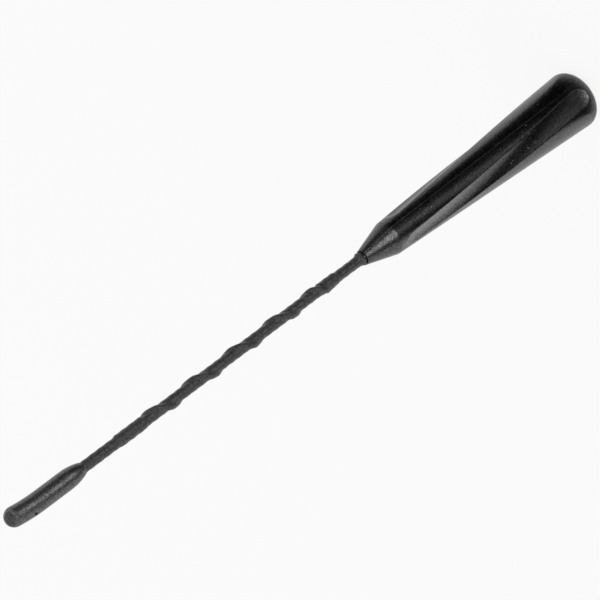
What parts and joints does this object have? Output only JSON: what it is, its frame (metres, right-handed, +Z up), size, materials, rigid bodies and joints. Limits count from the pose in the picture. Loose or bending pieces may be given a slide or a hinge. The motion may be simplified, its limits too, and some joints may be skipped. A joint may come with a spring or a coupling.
{
  "type": "car mast aerial",
  "caption": "Screw-on car mast aerial: slim sleeved whip with a spiral ridge, rounded tip cap and a tapered rubber boot with twisted flutes over a threaded ferrule.",
  "frame": {"origin": "centre of the seat face at the bottom of the boot, on the thread's axis", "axes": "+Z up the mast to the tip cap; +X the side that the tip cap bends to"},
  "size_m": [0.0194, 0.0193, 0.2405],
  "materials": {
    "boot_rubber": "moulded black rubber, fine grain, semi-gloss",
    "sleeve": "dark grey shrunk sleeve, matte",
    "cap": "dark grey moulded plastic, satin",
    "ferrule_brass": "turned brass",
    "rod_glass_fibre": "drawn glass-fibre rod",
    "winding": "enamelled copper wire set in lacquer"
  },
  "bodies": {
    "root": {"boot": "boot_rubber", "mast_sleeve": "sleeve", "tip_cap": "cap", "threaded_ferrule": "ferrule_brass", "core_rod": "rod_glass_fibre", "wire_winding": "winding"}
  },
  "joints": []
}
